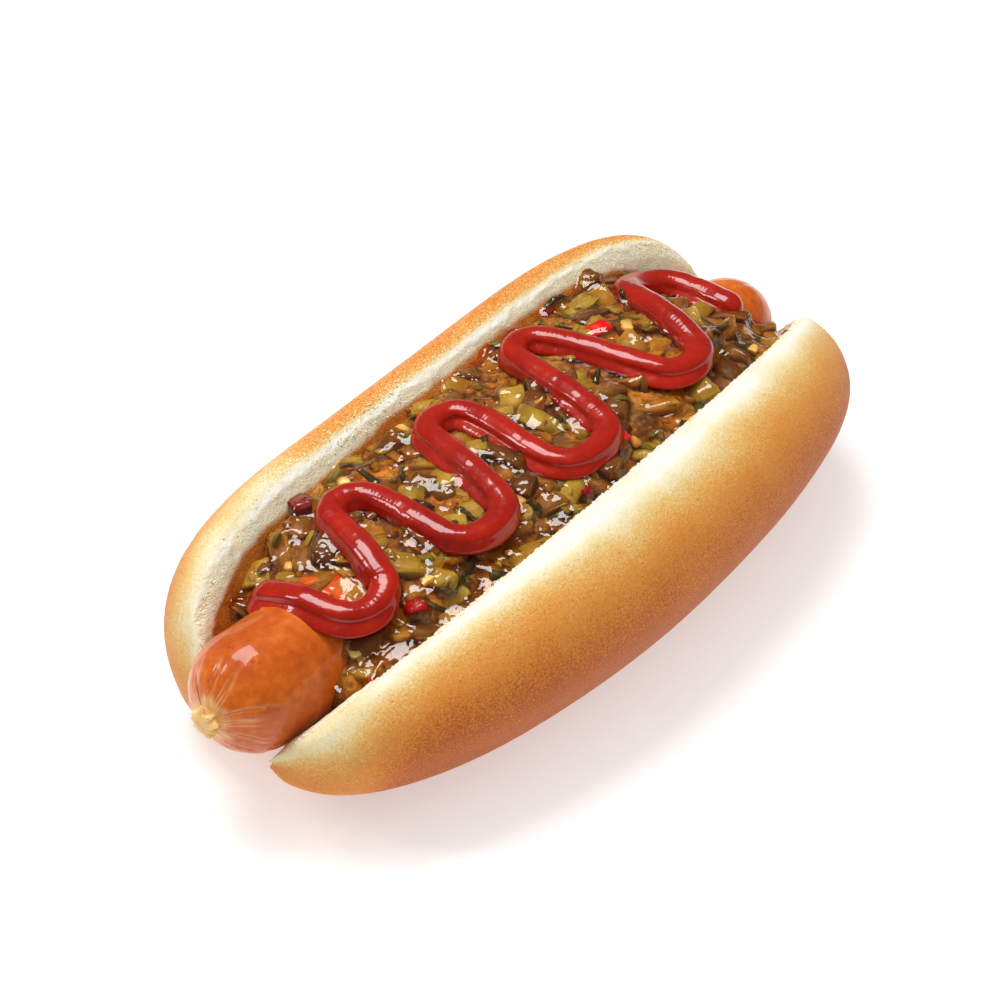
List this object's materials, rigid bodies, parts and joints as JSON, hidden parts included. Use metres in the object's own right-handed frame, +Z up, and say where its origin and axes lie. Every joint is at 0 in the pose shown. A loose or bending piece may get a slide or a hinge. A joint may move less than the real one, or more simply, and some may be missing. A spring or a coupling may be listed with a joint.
{
  "type": "hot dog",
  "caption": "Split soft bun holding a smoked sausage under chopped pickle relish, with a zigzag of ketchup along the top.",
  "frame": {"origin": "middle of the underside of the whole hot dog's box", "axes": "+X along the bun, +Y across it towards the slimmer half, +Z up"},
  "size_m": [0.1704, 0.0808, 0.0403],
  "materials": {
    "bun": "soft satin golden crust, cream cut faces and crumb",
    "sausage": "moist glossy orange-brown casing",
    "relish": "wet diced pickle in amber jelly",
    "ketchup": "thick glossy red sauce"
  },
  "bodies": {
    "root": {"bun": "bun", "sausage": "sausage", "relish": "relish", "ketchup": "ketchup"}
  },
  "joints": []
}
